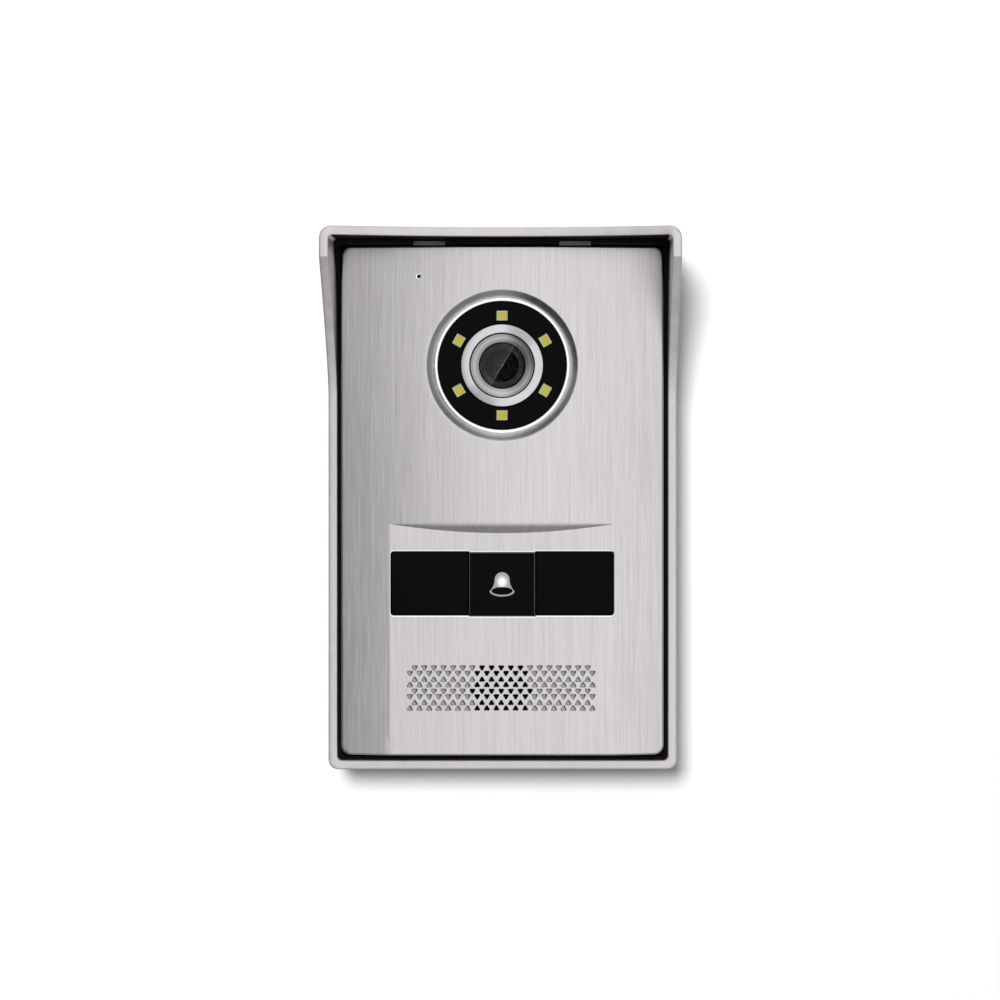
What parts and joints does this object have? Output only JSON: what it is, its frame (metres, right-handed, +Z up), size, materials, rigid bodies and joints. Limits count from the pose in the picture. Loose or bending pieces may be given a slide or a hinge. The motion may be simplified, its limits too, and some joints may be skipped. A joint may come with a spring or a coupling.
{
  "type": "door intercom panel",
  "caption": "Outdoor video door station: brushed panel with camera, call button and speaker grille, under a deep rain hood for wall mounting.",
  "frame": {"origin": "middle of the hood's back face, which lies on the wall", "axes": "+Z up; +Y into the wall, so the panel looks along -Y; +X to the right of someone who faces the panel"},
  "size_m": [0.116, 0.05, 0.1784],
  "materials": {
    "hood_paint": "satin silver powder coat",
    "brushed_aluminium": "vertically brushed and anodised",
    "liner_rubber": "matt black",
    "zinc_plate": "zinc plated",
    "housing_plastic": "fine grain",
    "seal_rubber": "matt",
    "trim_metal": "turned and bright",
    "window_black": "gloss",
    "led_white": "white package with a yellow phosphor",
    "board_green": "solder mask",
    "lens_black": "satin",
    "lens_glass": "coated",
    "sensor_silicon": "polished",
    "ribbon_amber": "satin",
    "icon_white": "translucent",
    "switch_plastic": "satin",
    "stem_red": "satin",
    "speaker_cloth": "woven dust cloth",
    "foam_grey": "open foam",
    "cone_paper": "pressed paper",
    "magnet_iron": "plated",
    "capsule_metal": "drawn",
    "terminal_green": "moulded",
    "screw_zinc": "zinc plated"
  },
  "bodies": {
    "station": {"rain_hood": "hood_paint", "weather_liner": "liner_rubber", "wall_bracket": "zinc_plate", "front_panel": "brushed_aluminium", "rear_housing": "housing_plastic", "panel_seal": "seal_rubber", "camera_trim": "trim_metal", "camera_window": "window_black", "led_board": "board_green", "led_1": "led_white", "led_2": "led_white", "led_3": "led_white", "led_4": "led_white", "led_5": "led_white", "led_6": "led_white", "lens_trim": "trim_metal", "lens_dish": "trim_metal", "lens_barrel": "lens_black", "lens_glass": "lens_glass", "camera_carrier": "housing_plastic", "camera_board": "board_green", "lens_mount": "housing_plastic", "image_sensor": "sensor_silicon", "camera_ribbon": "ribbon_amber", "window_left": "window_black", "window_right": "window_black", "tact_switch": "switch_plastic", "button_carrier": "housing_plastic", "speaker_mesh": "speaker_cloth", "speaker_gasket": "foam_grey", "speaker_frame": "zinc_plate", "speaker_cone": "cone_paper", "speaker_magnet": "magnet_iron", "microphone_boot": "seal_rubber", "microphone_capsule": "capsule_metal", "main_board": "board_green", "shield_can": "capsule_metal", "relay": "switch_plastic", "capacitor": "capsule_metal", "network_jack": "switch_plastic", "terminal_block": "terminal_green", "housing_screw_1": "screw_zinc", "housing_screw_2": "screw_zinc", "housing_screw_3": "screw_zinc", "housing_screw_4": "screw_zinc", "wall_screw_1": "screw_zinc", "wall_screw_2": "screw_zinc", "wall_screw_3": "screw_zinc", "wall_screw_4": "screw_zinc", "board_screw_1": "screw_zinc", "board_screw_2": "screw_zinc", "board_screw_3": "screw_zinc", "board_screw_4": "screw_zinc", "locking_screw": "screw_zinc"},
    "button": {"call_button": "window_black", "bell_icon": "icon_white", "switch_stem": "stem_red"}
  },
  "joints": [
    {"name": "call_button_press", "type": "slide", "parent": "station", "child": "button", "axis": [0, 1, 0], "range_m": [0, 0.0005], "stiffness_N_per_m": 1500, "springref_m": -0.001}
  ]
}
